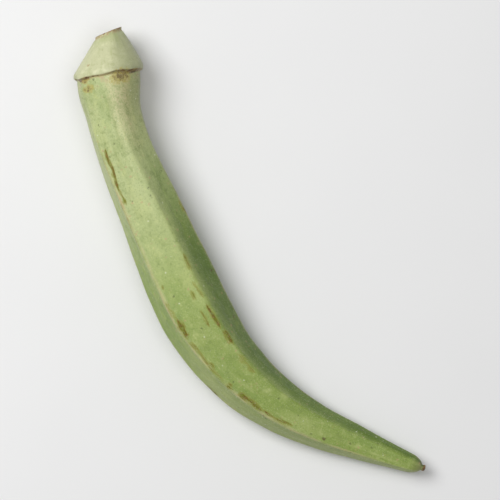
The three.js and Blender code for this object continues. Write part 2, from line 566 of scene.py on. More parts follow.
# Scuffs beside the ribs, as (rib, from, to, side of the crest, width, strength). A side is in millimetres
# round the pod, positive away from the hollow on the ribs that face up.
SCUFFS = [
    (OUTER_RIB, 27, 34.5, -1.35, 0.4, 0.9),
    (OUTER_RIB, 32.5, 41, -0.9, 0.34, 0.9),
    (OUTER_RIB, 40, 53, 0.3, 0.35, 0.5),
    (OUTER_RIB, 62, 63, -1.3, 0.4, 0.8),
    (OUTER_RIB, 66, 70.5, -0.5, 0.45, 0.5),
    (OUTER_RIB, 70.5, 75.5, -0.8, 0.6, 1.0),
    (OUTER_RIB, 76, 88, -0.5, 0.4, 0.5),
    (OUTER_RIB, 82.5, 84.5, -0.8, 0.6, 0.7),
    (OUTER_RIB, 89, 90.5, -0.6, 0.6, 0.9),
    (OUTER_RIB, 92, 99, -0.7, 0.45, 0.95),
    (OUTER_RIB, 99, 106.5, -0.7, 0.5, 0.75),
    (INNER_RIB, 57, 61.5, 0.0, 0.7, 0.5),
    (INNER_RIB, 64, 69, 0.7, 0.5, 0.4),
    (INNER_RIB, 66, 68.5, 2.4, 0.6, 0.65),
    (INNER_RIB, 70.5, 77.5, 0.6, 0.42, 1.0),
    (INNER_RIB, 71.2, 75.8, 2.6, 0.35, 0.55),
    (INNER_RIB, 78.3, 82.5, 0.3, 0.55, 1.0),
    (INNER_RIB, 85, 92, 0.6, 0.6, 0.45),
    (3, 37, 41, 0.5, 0.4, 0.7),
    (3, 58, 72, 0.1, 0.3, 0.45),
    (3, 86, 89.5, -0.4, 0.5, 0.75),
    (3, 90, 98, 0.3, 0.3, 0.5),
    (4, 50, 54, 0.4, 0.4, 0.6),
    (4, 78, 90, 0.0, 0.3, 0.5),
    (5, 31, 34, 0.3, 0.4, 0.65),
    (5, 97, 102, 0.0, 0.4, 0.7),
    (0, 45, 49, 0.5, 0.4, 0.7),
    (0, 57, 70, 0.0, 0.3, 0.45),
    (0, 89, 94, -0.3, 0.45, 0.75),
    (0, 99, 108, 0.2, 0.3, 0.5),
]
SCUFF_FADE, SCUFF_PAST_END = 1.8, 0.8
SCUFF_DRIFT = (0.3, 3.5, 11)
SCUFF_SWELL = (0.8, 1.8, 12)
SCUFF_LEAST_SWELL = 0.5
SCUFF_END_WIDTH = 0.4
SCUFFS_APART = 9.0

# Corky patches under the ring, as (station, angle, size, strength). They are wider than long.
PATCHES = [
    (11.5, 66, 2.4, 1.0),
    (10.9, 136, 1.1, 0.8),
    (12.9, 131, 1.5, 0.9),
    (12.0, 205, 1.7, 0.9),
    (12.6, 262, 2.0, 1.0),
    (11.9, 325, 1.6, 0.8),
]
PATCH_WIDENING = 1.5

# Stretches of the ring that kept their dark cork, as (angle, half-width, strength)
RING_CORK = [(50, 30, 1.0), (140, 13, 1.0), (200, 14, 0.8), (258, 30, 1.0), (322, 16, 0.9)]

# Colours of the skin as seen. A shade is multiplied with what is below it.
BEAK_END = (142, 144, 94)
CLOUD_PALE, CLOUD_DEEP = (190, 198, 128), (112, 140, 60)
FIBRE_PALE, FIBRE_DEEP = (206, 210, 158), (140, 154, 88)
MOTTLE_PALE, MOTTLE_DEEP = (200, 206, 138), (110, 128, 60)
GRAIN_PALE, GRAIN_DEEP = (206, 212, 150), (98, 118, 52)
# Colours of the sides: the hollow's green is partly painted shade, the outer and neck-edge colours are
# painted shade, the beak side is painted light, and the dry neck is partly painted light
HOLLOW_GREEN_AND_SHADE = (150, 176, 94)
OUTER_PAINTED_SHADE = (230, 240, 212)
NECK_EDGE_PAINTED_SHADE = (208, 196, 182)
BEAK_SIDE_PAINTED_LIGHT, DRY_NECK_AND_LIGHT = (176, 182, 126), (212, 202, 160)
CREST_PALE_AND_HIGHLIGHT, CREST_TAN = (194, 190, 140), (176, 148, 106)
GREEN_SPECK, BROWN_SPECK = (84, 92, 44), (88, 74, 36)
TAN_DOT, WHITE_DOT_AND_GLINT = (182, 146, 112), (226, 230, 202)
CAP_BY_CUT, CAP_SIDE_PAINTED_SHADE = (178, 184, 134), (136, 144, 98)
CAP_STREAK, CAP_GRAIN = (160, 168, 112), (164, 168, 122)
CAP_PALE, CAP_DEEP = (216, 216, 178), (160, 166, 116)
CAP_SCAR, CAP_RIM = (160, 132, 92), (164, 122, 96)
LINE_TAN_AND_LIGHT, LINE_BROWN, LINE_CORK_AND_SHADOW = (190, 164, 112), (132, 108, 66), (88, 72, 48)
TINGE = (184, 152, 122)
PATCH_EDGE, PATCH_CORK = (176, 162, 82), (116, 100, 66)
SCUFF_STAIN, SCUFF_FLECK = (136, 138, 54), (84, 70, 30)
SCUFF_OLIVE, SCUFF_BROWN, SCUFF_TAN = (112, 118, 26), (106, 94, 20), (128, 94, 42)

# Where the colours change along the pod, as (from, to)
FIBRES_FADE = (60, 18)
BELLY_GROWS = (16, 62)
BEAK_SIDE_LIGHT_GROWS = (70, 92)
OUTER_PAINTED_SHADE_ENDS = (84, 72)
NECK_FADES = (36, 14)


def skin_stations():
    """Rows down inside the cut's rim, close together on the cap and its lip, and even down the pod."""
    stretches = [np.linspace(start, end, steps, endpoint=False) for start, end, steps in SKIN_STRETCHES]
    return np.concatenate([[WALL_DEPTH], *stretches, [TIP_ROW]])


def skin_relief(s, straight, from_rib, number, swell):
    """What the fine skin adds to the radius, in millimetres."""
    dents = relief(straight, BROAD_DENTS) + relief(straight, SMALL_DENTS)
    uneven = bell(from_rib, CREST_WIDTH) * relief(straight, UNEVEN_CRESTS)
    place = (s - SEED_ROWS_FROM) / SEED_PITCH + number * SEED_SHIFT + relief(straight, SEED_DRIFT)
    seeds = (0.5 + 0.5 * np.cos(2 * math.pi * place)) * bell(1 - from_rib, SEED_WIDTH)
    in_rows = ease((s - SEED_ROWS_FROM) / SEED_FADE_IN) * ease((SEED_ROWS_TO - s) / SEED_FADE_OUT)
    pod = dents + relief(straight, SKIN_FIBRES) + uneven + swell * seeds * in_rows
    on_pod = ease((s - NECK_AT) / POD_RELIEF_FADE)
    off_nib = 1 - ease((s - BEAK_SMOOTH_FROM) / BEAK_SMOOTH_FADE)
    cap = relief(straight, CAP_DENTS) + relief(straight, CAP_FIBRES)
    on_cap = ease((RING_AT + CAP_RELIEF_FADE / 2 - s) / CAP_RELIEF_FADE)
    rim = bell(s - RING_AT, RING_CRUMBS_WIDTH) * relief(straight, RING_CRUMBS)
    return pod * on_pod * off_nib + cap * on_cap + rim


def scuff_strength(s, gap, number):
    """How scuffed the skin is at each point, from 0 to 1. gap is the signed way round to the nearest rib."""
    worn = np.zeros(gap.shape)
    for place, (rib, start, end, side, width, strength) in enumerate(SCUFFS):
        line = np.stack([s[:, 0], np.full(len(s), SCUFFS_APART * place), np.zeros(len(s))], axis=-1)
        drift = relief(line, SCUFF_DRIFT)[:, None]
        swell = 1 + relief(line, SCUFF_SWELL)[:, None]
        started = ease((s - start + SCUFF_PAST_END) / SCUFF_FADE)
        within = started * ease((end + SCUFF_PAST_END - s) / SCUFF_FADE)
        reach = width * np.maximum(swell, SCUFF_LEAST_SWELL) * mix(SCUFF_END_WIDTH, 1, within)
        worn = np.maximum(worn, strength * within * bell(gap - side - drift, reach) * (number == rib))
    return worn


def turned_from(angle, place):
    """How far round each angle is from a place in degrees, in radians from -pi to pi."""
    return (angle - math.radians(place) + math.pi) % (2 * math.pi) - math.pi


def patch_strength(s, angle):
    corky = np.zeros(angle.shape)
    for station, place, size, strength in PATCHES:
        reach = np.hypot(turned_from(angle, place) * NECK_RADIUS, PATCH_WIDENING * (s - station))
        corky = np.maximum(corky, strength * bell(reach, size))
    return corky


def ring_cork(angle):
    """How much dark cork the ring kept at each angle, from 0 to 1."""
    kept = np.zeros(angle.shape)
    for place, half_width, strength in RING_CORK:
        kept = np.maximum(kept, strength * bell(turned_from(angle, place), math.radians(half_width)))
    return kept


def skin_grid(swell):
    """The fine skin's points, and what its material reads at each of them."""
    number, angles, spans, shares = columns(SKIN_STEPS)
    s = skin_stations()[:, None]
    from_rib = 1 - np.abs(2 * shares - 1)
    around = np.radians(angles)
    straight = np.stack(
        np.broadcast_arrays(s, BELLY_RADIUS * np.cos(around), BELLY_RADIUS * np.sin(around)), axis=-1
    )
    wander = relief(np.stack(np.broadcast_arrays(s, RIBS_APART * number, 0.0), axis=-1), RIB_WANDER)
    wander = wander * ease((s - NECK_AT) / WANDER_FADE_IN) * ease((POD_LENGTH - s) / WANDER_FADE_OUT)
    angle = np.radians(angles + winding_at(s) + wander)
    base = radius_at(s)
    ribbing = ribbing_at(s)
    radius = base * section_share(spans, from_rib, ribbing, RIB_SOFTNESS[number])
    radius = np.maximum(radius + skin_relief(s, straight, from_rib, number, swell), LEAST_RADIUS)
    radius[0] = WALL_SHARE * STUMP_RADIUS
    signed = np.where(shares <= 0.5, shares, shares - 1) * np.radians(spans)
    features = {
        "straight": straight,
        "crest": bell(from_rib, PALE_CREST_WIDTH) * ribbing * RIB_PALENESS_AND_HIGHLIGHT[number],
        "scuff": scuff_strength(s, signed * base, number),
        "patch": patch_strength(s, angle),
        "ring": ring_cork(angle),
    }
    return placed(form_points(s, angle, radius)), features


def pod_green(graph, look, straight, mottle, grain):
    """The pod's green: paler at the neck, deeper towards the tip and on the side of the hollow, with painted
    light and shade on its sides.
    """
    station, side = graph.axis(straight, "X"), graph.axis(straight, "Y")
    neck, belly, beak = as_seen(look.neck), as_seen(look.belly), as_seen(look.beak)
    stops = [(0.1, neck), (0.28, neck), (0.45, belly), (0.72, beak), (0.97, beak), (1, BEAK_END)]
    color = graph.ramp(graph.math("DIVIDE", station, POD_LENGTH), stops)

    # Clouds, soft fibres by the neck, mottling, and a fine velvety grain
    clouds = graph.noise(straight, (13, 5, 5), detail=2)
    fibres = graph.noise(straight, (10, 1.9, 1.9))
    by_neck = graph.band(station, *FIBRES_FADE, 0.2, 1)
    layers = [
        (CLOUD_PALE, graph.band(clouds, 0.5, 0.72, 0, 0.3)),
        (CLOUD_DEEP, graph.band(clouds, 0.5, 0.28, 0, 0.3)),
        (FIBRE_DEEP, graph.times(graph.band(fibres, 0.48, 0.3, 0, 0.45), by_neck)),
        (FIBRE_PALE, graph.times(graph.band(fibres, 0.54, 0.72, 0, 0.4), by_neck)),
        (MOTTLE_PALE, graph.band(mottle, 0.52, 0.74, 0, 0.35)),
        (MOTTLE_DEEP, graph.band(mottle, 0.48, 0.28, 0, 0.4)),
        (GRAIN_DEEP, graph.band(grain, 0.46, 0.3, 0, 0.5)),
        (GRAIN_PALE, graph.band(grain, 0.56, 0.72, 0, 0.4)),
    ]
    color = graph.layered(color, layers)

    # Sides: a deeper green with painted shade on the side of the hollow, painted light and painted shade on
    # the outer side, and at the neck drier tan specks with painted light and an edge of painted shade
    on_belly = graph.band(station, *BELLY_GROWS)
    # The side of the hollow is multiplied deeper green: partly its own tone, partly painted shade
    hollow = graph.times(graph.band(side, 3.2, 7.8, 0, 0.85), on_belly)
    color = graph.over(color, HOLLOW_GREEN_AND_SHADE, hollow, mode="MULTIPLY")
    # Painted light: the outer side is made paler towards the beak
    beak_side_light = graph.times(graph.band(side, -4, -7.5, 0, 0.3), graph.band(station, *BEAK_SIDE_LIGHT_GROWS))
    color = graph.over(color, BEAK_SIDE_PAINTED_LIGHT, beak_side_light)
    # Painted shade: the outer side is darkened along the belly, fading out by station 84
    outer_shade = graph.times(graph.band(side, -3.5, -7), on_belly, graph.band(station, *OUTER_PAINTED_SHADE_ENDS))
    color = graph.over(color, OUTER_PAINTED_SHADE, outer_shade, mode="MULTIPLY")
    at_neck = graph.band(station, *NECK_FADES)
    # On the neck towards the hollow: tan specks of dry skin, laid on pale enough to be painted light over
    # the shading there as well
    inner = graph.times(graph.band(side, 1.5, 4), graph.band(side, 8.5, 6.5), at_neck)
    dry_and_lit = graph.times(graph.band(mottle, 0.32, 0.56, 0.45, 1), graph.band(grain, 0.42, 0.58, 0.25, 0.7))
    color = graph.over(color, DRY_NECK_AND_LIGHT, graph.times(inner, dry_and_lit))
    # Painted shade: the neck's edge by the hollow is darkened
    neck_edge_shade = graph.times(graph.band(side, 4.5, 7.5, 0, 0.4), at_neck)
    return graph.over(color, NECK_EDGE_PAINTED_SHADE, neck_edge_shade, mode="MULTIPLY")


def ribs_and_specks(graph, color, straight, place, mottle):
    """Pale dry crests that are partly a painted highlight and turn tan in places, and the skin's small
    specks and dots.
    """
    crest = graph.attribute("crest")
    worn = graph.noise(straight, (6, 2.2, 2.2), detail=4, roughness=0.6)
    tan = graph.times(graph.band(crest, 0.5, 0.95), graph.band(worn, 0.52, 0.64))
    tan_dots = graph.times(graph.spots(place, 1.3, 0.34, 0.45, 80.0), graph.band(mottle, 0.44, 0.6))
    layers = [
        # The crests' paleness is partly dry skin and partly a painted highlight
        (CREST_PALE_AND_HIGHLIGHT, graph.times(graph.band(crest, 0.35, 1), graph.band(worn, 0.34, 0.6, 0.1, 0.75))),
        (CREST_TAN, graph.times(tan, 0.5)),
        (GREEN_SPECK, graph.times(graph.spots(place, 1.9, 0.32, 0.3), 0.6)),
        (BROWN_SPECK, graph.times(graph.spots(place, 6.0, 0.55, 0.25, 40.0), 0.8)),
        (TAN_DOT, graph.times(tan_dots, 0.55)),
        # Pale dots: partly pale specks of the skin, partly painted glints
        (WHITE_DOT_AND_GLINT, graph.times(graph.spots(place, 2.0, 0.24, 0.3, 120.0), 0.6)),
    ]
    return graph.layered(color, layers)


def cap_color(graph, look, straight, place, mottle, grain):
    """The pale cream cap, with a few small scars, a rim that browned at the cut, and painted shade on its
    side towards the hollow.
    """
    station, side = graph.axis(straight, "X"), graph.axis(straight, "Y")
    color = graph.ramp(graph.band(station, 0.5, 4), [(0, CAP_BY_CUT), (1, as_seen(look.cap))])
    streaks = graph.noise(straight, (6, 2.4, 2.4), roughness=0.6)
    rim = graph.times(graph.band(station, 1.3, 0.45), graph.band(grain, 0.4, 0.56))
    layers = [
        (CAP_STREAK, graph.band(streaks, 0.48, 0.3, 0, 0.4)),
        (CAP_PALE, graph.band(mottle, 0.5, 0.7, 0, 0.55)),
        (CAP_DEEP, graph.band(mottle, 0.46, 0.28, 0, 0.45)),
        (CAP_GRAIN, graph.band(grain, 0.46, 0.3, 0, 0.5)),
        # Painted shade on the cap's side towards the hollow
        (CAP_SIDE_PAINTED_SHADE, graph.band(side, 3.5, 7.5, 0, 0.45)),
        (CAP_SCAR, graph.times(graph.spots(place, 3.1, 0.5, 0.4, 160.0), 0.6)),
        (CAP_RIM, graph.times(rim, 0.7)),
    ]
    return graph.layered(color, layers)


def under_ring(graph, color, station, mottle, crumbs):
    """Adds a line under the ring's lip, a pinkish tinge, and corky patches. The line is dark cork with
    painted shadow where the cork was kept, and a pale tan that paints light over the lip's own shadow where
    it wore off.
    """
    kept = graph.attribute("ring")
    on_pod = graph.band(station, RING_AT - 0.05, RING_AT + 0.15)
    # Where cork was kept the line is widened, as painted shadow under the lip
    below = graph.math("SUBTRACT", station, graph.times(kept, 0.5))
    line = graph.times(on_pod, graph.band(below, RING_AT + 0.7, RING_AT + 0.4))
    # From a pale tan that is painted light, through brown cork, to dark cork with painted shadow
    line_cork_and_shade = graph.ramp(kept, [(0.05, LINE_TAN_AND_LIGHT), (0.35, LINE_BROWN), (0.7, LINE_CORK_AND_SHADOW)])
    near_ring = graph.times(on_pod, graph.band(station, RING_AT + 4, RING_AT + 0.4))
    tinge = graph.times(near_ring, graph.band(mottle, 0.46, 0.64))
    patch = graph.attribute("patch")
    crumbly = graph.frayed(patch, crumbs, 0.3)
    halo = graph.times(graph.band(patch, 0.08, 0.3), graph.band(crumbly, 0.1, 0.6))
    cork = graph.times(graph.band(patch, 0.2, 0.5), graph.band(crumbly, 0.55, 0.95))
    layers = [
        (line_cork_and_shade, graph.times(line, graph.band(kept, 0, 0.7, 0.6, 0.95))),
        (TINGE, graph.times(tinge, 0.6)),
        (PATCH_EDGE, graph.times(halo, 0.7)),
        (PATCH_CORK, graph.times(cork, 0.85)),
    ]
    return graph.layered(color, layers), cork


def scuffed_ribs(graph, look, color, streaks, crumbs, grain):
    """Adds the scuffs: an olive stain with a ragged brown core and dark flecks in it."""
    scuff = graph.attribute("scuff")
    ragged = graph.frayed(scuff, streaks, 0.3)
    stain = graph.times(graph.band(scuff, 0.04, 0.2), graph.band(ragged, 0.08, 0.45))
    core = graph.times(graph.band(scuff, 0.15, 0.35), graph.band(ragged, 0.42, 0.85))
    flecks = graph.times(graph.band(ragged, 0.6, 0.95), graph.band(scuff, 0.2, 0.4))
    flecks = graph.times(flecks, graph.band(grain, 0.5, 0.6))
    brown = graph.ramp(crumbs, [(0.42, SCUFF_OLIVE), (0.51, SCUFF_BROWN), (0.64, SCUFF_TAN)])
    layers = [
        (SCUFF_STAIN, graph.times(stain, look.blemishes, 0.7)),
        (brown, graph.times(core, look.blemishes, 0.85)),
        (SCUFF_FLECK, graph.times(flecks, look.blemishes, 0.6)),
    ]
    return graph.layered(color, layers), core


def skin_material(look):
    graph = Graph("okra_pod_skin", roughness=0.5, sheen=0.12)
    straight = graph.attribute("straight", "Vector")
    place = graph.millimetres()
    station = graph.axis(straight, "X")
    mottle = graph.noise(place, 1.9, roughness=0.6)
    grain = graph.noise(place, 0.42, roughness=0.7)
    crumbs = graph.noise(place, 0.8, detail=4, roughness=0.65)
    streaks = graph.noise(straight, (2.8, 0.5, 0.5), detail=4, roughness=0.6)

    green = pod_green(graph, look, straight, mottle, grain)
    green = ribs_and_specks(graph, green, straight, place, mottle)
    cap = cap_color(graph, look, straight, place, mottle, grain)
    color = graph.over(cap, green, graph.band(station, RING_AT + 0.2, RING_AT + 0.5))
    color, cork = under_ring(graph, color, station, mottle, crumbs)
    color, core = scuffed_ribs(graph, look, color, streaks, crumbs, grain)

    dried = graph.band(graph.math("MAXIMUM", core, cork), 0, 1, 0.4, 0.85)
    roughness = graph.math("MAXIMUM", graph.spread(grain, 0.46, 0.6), dried)
    height = graph.math("ADD", graph.times(grain, 0.35), graph.times(mottle, 0.3))
    height = graph.math("SUBTRACT", height, graph.times(core, crumbs, 0.4))
    height = graph.math("ADD", height, graph.times(cork, grain, 0.5))
    return graph.finish(color, roughness, height, depth=0.12)


class OkraSkinLook(bpy.types.PropertyGroup):
    neck: color_property("Neck", "Skin next to the ring", (178, 188, 132))
    belly: color_property("Belly", "Skin on the thick of the pod", (148, 165, 90))
    beak: color_property("Beak", "Skin towards the tip", (136, 156, 74))
    cap: color_property("Cap", "Skin of the cone-shaped cap", (194, 196, 155))
    blemishes: amount_property(
        "Blemishes", "How brown the scuffs on the ribs are", 1.0, max=1, subtype="FACTOR"
    )
    seed_swell: amount_property(
        "Seed swell", "How far the seeds lift the skin", 0.07 * MM, max=0.4 * MM, unit="LENGTH"
    )


class OKRA_OT_skin(bpy.types.Operator):
    """Build the pod's skin, from the cut's rim to the tip"""

    bl_idname = "okra.skin"
    bl_label = "Skin"

    def execute(self, context):
        look = context.scene.okra_skin
        grid, features = skin_grid(look.seed_swell / MM)
        rows, around = grid.shape[:2]
        for key, values in features.items():
            flat = values.reshape(rows * around, -1)
            last = np.stack([flat[:around].mean(axis=0), flat[-around:].mean(axis=0)])
            features[key] = np.concatenate([flat, last]).squeeze()
        points, faces = closed_tube(grid, on_spine(WALL_DEPTH, POD_LENGTH))
        skin = add_mesh("okra_skin", points, faces, skin_material(look), features)
        wrap_map(skin, rows, around)
        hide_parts(NODE)
        return {"FINISHED"}


# Ring scar

SCAR_COLUMNS = 540
SCAR_ROWS = 11
SCAR_EDGE = 0.12
SCAR_PROUD = 0.32
SCAR_SUNK = 0.2
SCAR_CROWN = 0.6
SCAR_RIB_DIP = 0.015
SCAR_KEPT = 0.7
KNOB_SPREAD = 3

# Unevenness of the scar, as (depth, feature size, seed)
UPPER_BAYS, UPPER_TEETH = (0.9, 1.4, 21), (0.6, 0.5, 22)
LOWER_BAYS, LOWER_TEETH = (0.8, 1.8, 23), (0.6, 0.6, 24)
KEPT_BITS = (1.2, 2.4, 25)
KNOBS = (0.55, 0.55, 26)

CORK_BROWN, CORK_PALE = (138, 112, 76), (170, 156, 108)
CORK_CRACK, CORK_CRUMB = (62, 46, 30), (196, 180, 138)


def scar_points():
    """A ragged corky line on the ring's edge, which dips under the skin where it has worn off."""
    theta = turns_of(SCAR_COLUMNS)
    circle = circle_points(theta, RING_RADIUS)
    above = SCAR_EDGE * (1 + relief(circle, UPPER_BAYS) + relief(circle, UPPER_TEETH))
    below = SCAR_EDGE * (1 + relief(circle, LOWER_BAYS) + relief(circle, LOWER_TEETH))
    kept = ring_cork(theta) * (SCAR_KEPT + relief(circle, KEPT_BITS))
    rows = []
    for share in np.linspace(0, 1, SCAR_ROWS):
        s = RING_AT - above + share * (above + LIP_DEPTH + below)
        crown = math.sin(math.pi * share) ** SCAR_CROWN
        knobs = 1 + relief(circle + [0, 0, KNOB_SPREAD * share], KNOBS)
        lift = SCAR_PROUD * crown * knobs * kept - SCAR_SUNK
        rows.append(form_points(s, theta, radius_at(s) * (1 - SCAR_RIB_DIP * ribbing_at(s)) + lift))
    return placed(np.array(rows))


def scar_material(look):
    graph = Graph("okra_ring_cork", roughness=0.85, specular=0.2)
    place = graph.millimetres()
    patches = graph.noise(place, 1.6, detail=5, roughness=0.65)
    crumbs = graph.noise(place, 0.3, roughness=0.7)
    dark = as_seen(look.cork)
    color = graph.ramp(patches, [(0.3, dark), (0.48, CORK_BROWN), (0.6, CORK_PALE), (0.72, dark)])
    color = graph.over(color, CORK_CRACK, graph.band(crumbs, 0.46, 0.3, 0, 0.7))
    color = graph.over(color, CORK_CRUMB, graph.band(crumbs, 0.58, 0.7, 0, 0.5))
    height = graph.math("ADD", graph.times(patches, 0.5), graph.times(crumbs, 0.5))
    return graph.finish(color, graph.spread(crumbs, 0.7, 0.95), height, depth=0.25)


class OkraScarLook(bpy.types.PropertyGroup):
    cork: color_property("Cork", "Darkest cork of the ring", (92, 70, 44))


class OKRA_OT_ring_scar(bpy.types.Operator):
    """Build the corky scar along the ring's edge"""

    bl_idname = "okra.ring_scar"
    bl_label = "Ring scar"

    def execute(self, context):
        points = scar_points()
        faces = tube_faces(SCAR_ROWS, SCAR_COLUMNS)
        add_mesh("okra_ring_scar", points, faces, scar_material(context.scene.okra_scar))
        return {"FINISHED"}


# Cut stump

CUT_COLUMNS = 180
CUT_ROWS = 44
CUT_REACH = 0.985
CUT_DEPTH = 0.26
CUT_SKIRT, SKIRT_SHARE = 1.4, 0.93
HUB_SHARE, HUB_DEPTH = 0.03, 0.56

# The cut's rings, as shares of its radius, with their depths in millimetres
RIM_CURL, RIM_FROM, RIM_WIDTH = 0.24, 0.86, 0.12
GROOVE_DEPTH, GROOVE_AT, GROOVE_WIDTH = 0.14, 0.8, 0.08
PITH_DEPTH, PITH_EDGE, PITH_SLOPE = 0.3, 0.64, 0.3
CUT_LUMPS = (0.1, 0.5, 32)
CUT_CRUMBS = (0.05, 0.12, 33)

# Cracks open across the rings where their noise is over CRACKS_FROM
CRACK_DEPTH, CRACKS_AT, CRACKS_WIDTH = 0.3, 0.32, 0.25
CRACK_NOISE, CRACKS_FROM = (1, 0.35, 31), 0.15
SPOKE_RADIUS = 3

PITH_RING, CUT_GREEN, CUT_OLIVE = (196, 188, 138), (168, 168, 110), (160, 158, 104)
RIM_BROWN, RIM_DARK = (158, 124, 92), (128, 96, 70)
CUT_STAIN, CUT_GAP, CUT_FIBRE = (156, 128, 86), (118, 92, 58), (232, 224, 190)


def cut_points():
    """The knife's cut, dried: a curled rim, a ring of fibres that stands up, and a sunken spongy pith."""
    theta = turns_of(CUT_COLUMNS)
    rows = []
    shares = np.linspace(HUB_SHARE, 1, CUT_ROWS)
    for share in shares:
        circle = circle_points(theta, share)
        split = relief(circle_points(theta, SPOKE_RADIUS, share), CRACK_NOISE) - CRACKS_FROM
        cracks = CRACK_DEPTH * np.maximum(0, split) * bell(share - CRACKS_AT, CRACKS_WIDTH)
        pith = PITH_DEPTH * ease((PITH_EDGE - share) / PITH_SLOPE)
        groove = GROOVE_DEPTH * bell(share - GROOVE_AT, GROOVE_WIDTH)
        curl = RIM_CURL * ease((share - RIM_FROM) / RIM_WIDTH)
        uneven = relief(circle, CUT_LUMPS) + relief(circle, CUT_CRUMBS)
        depth = CUT_DEPTH + pith + groove + cracks + uneven - curl
        rows.append(form_points(depth, theta, CUT_REACH * share * STUMP_RADIUS))
    rows.append(form_points(CUT_SKIRT, theta, SKIRT_SHARE * STUMP_RADIUS))
    return placed(np.array(rows)), np.repeat([*shares, 1], CUT_COLUMNS)


def cut_material(look):
    graph = Graph("okra_cut_stump", roughness=0.8, specular=0.25)
    share = graph.attribute("share")
    place = graph.millimetres()
    ring = graph.frayed(share, graph.noise(place, 1.1), 0.07)
    wood, pith = as_seen(look.wood), as_seen(look.pith)
    stops = [(0, pith), (0.4, pith), (0.54, PITH_RING), (0.62, wood), (0.74, wood)]
    stops += [(0.8, CUT_GREEN), (0.9, CUT_OLIVE), (0.96, RIM_BROWN), (1, RIM_DARK)]
    fibres = graph.noise(place, 0.22, detail=4, roughness=0.7)
    layers = [
        (CUT_STAIN, graph.band(graph.noise(place, 1.5, detail=4), 0.5, 0.68, 0, 0.7)),
        (CUT_GAP, graph.band(fibres, 0.46, 0.32, 0, 0.6)),
        (CUT_FIBRE, graph.band(fibres, 0.56, 0.7, 0, 0.45)),
    ]
    color = graph.layered(graph.ramp(ring, stops), layers)
    return graph.finish(color, graph.spread(fibres, 0.65, 0.95), fibres, depth=0.2)


class OkraCutLook(bpy.types.PropertyGroup):
    wood: color_property("Wood", "The pale ring of fibres in the cut", (208, 200, 154))
    pith: color_property("Pith", "The spongy middle of the cut", (206, 202, 164))


class OKRA_OT_cut(bpy.types.Operator):
    """Build the dried face of the cut stalk"""

    bl_idname = "okra.cut"
    bl_label = "Cut stump"

    def execute(self, context):
        grid, shares = cut_points()
        points, faces = closed_tube(grid, on_spine(HUB_DEPTH, CUT_SKIRT))
        features = {"share": [*shares, 0, 1]}
        add_mesh("okra_cut_stump", points, faces, cut_material(context.scene.okra_cut), features)
        return {"FINISHED"}


# Nib

NIB_COLUMNS = 48
NIB_ROWS = 36
NIB_FROM = 2.6
NIB_FOLDS, FOLD_DEPTH, FOLD_TWIST = 5, 0.14, 1.4
NIB_CRUMPLE = (0.2, 0.6, 41)
NIB_STRETCH = 3
COLLAR_RADIUS, STUB_RADIUS, COLLAR_ENDS = 1.15, 0.56, 0.55
KNOB_SWELL, KNOB_AT, KNOB_WIDTH = 0.14, 0.86, 0.12
NIB_CLOSING = 0.08
NIB_LEAST = 0.02

NIB_DARK, NIB_PALE = (72, 54, 36), (176, 156, 112)


def nib_points():
    """The dried end of the flower's style: five twisted folds that shrink to a ragged stub."""
    theta = turns_of(NIB_COLUMNS)
    rows = []
    for share in np.linspace(0, 1, NIB_ROWS):
        s = POD_LENGTH - NIB_FROM * (1 - share)
        folds = FOLD_DEPTH * np.cos(NIB_FOLDS * (theta + FOLD_TWIST * share)) * ease(share * 2)
        crumpled = relief(circle_points(theta, 1, NIB_STRETCH * share), NIB_CRUMPLE)
        stem = mix(COLLAR_RADIUS, STUB_RADIUS, ease(share / COLLAR_ENDS))
        stem = stem + KNOB_SWELL * bell(share - KNOB_AT, KNOB_WIDTH)
        closing = np.sqrt(np.clip((1 - share) / NIB_CLOSING, 0, 1))
        rows.append(form_points(s, theta, np.maximum(stem * (1 + folds + crumpled) * closing, NIB_LEAST)))
    return placed(np.array(rows))


def nib_material(look):
    graph = Graph("okra_dried_nib", roughness=0.8, specular=0.25)
    place = graph.millimetres()
    streaks = graph.noise(place, 0.5, detail=4, roughness=0.65)
    color = graph.ramp(streaks, [(0.3, NIB_DARK), (0.5, as_seen(look.dried)), (0.72, NIB_PALE)])
    return graph.finish(color, graph.spread(streaks, 0.7, 0.9), streaks, depth=0.2)


class OkraNibLook(bpy.types.PropertyGroup):
    dried: color_property("Dried", "The dried end at the tip", (124, 98, 66))


class OKRA_OT_nib(bpy.types.Operator):
    """Build the dried nib at the tip"""

    bl_idname = "okra.nib"
    bl_label = "Nib"

    def execute(self, context):
        grid = nib_points()
        points, faces = closed_tube(grid, grid[[0, -1]].mean(axis=1))
        add_mesh("okra_nib", points, faces, nib_material(context.scene.okra_nib))
        return {"FINISHED"}


# Down

DOWN_SEED = 7
HAIR_WIDTH = 0.04
HAIR_LEAN = 0.55
HAIR_SPREAD = 0.45
HAIR_ROOT = 0.03
HAIR_CORNERS = (0, 2.1, 4.2)
HAIR_SHORTEST, HAIR_LONGEST = 0.4, 1.2
ON_FACE_LENGTH, ON_CREST_LENGTH = 0.75, 1.25
OFF_TABLE = 0.02

# How thickly the hairs stand: on the faces, more at the neck, and half as thickly on the cap
DOWN_ON_FACES = 0.45
DOWN_AT_NECK, NECK_DOWN_FROM, NECK_DOWN_WIDTH = 0.8, 3, 6
DOWN_ON_CAP = 0.5
BARE_UNDER = 0.3
BARE_TIP = 3

HAIR_FOOT, HAIR_WARM = (192, 200, 148), (206, 200, 160)


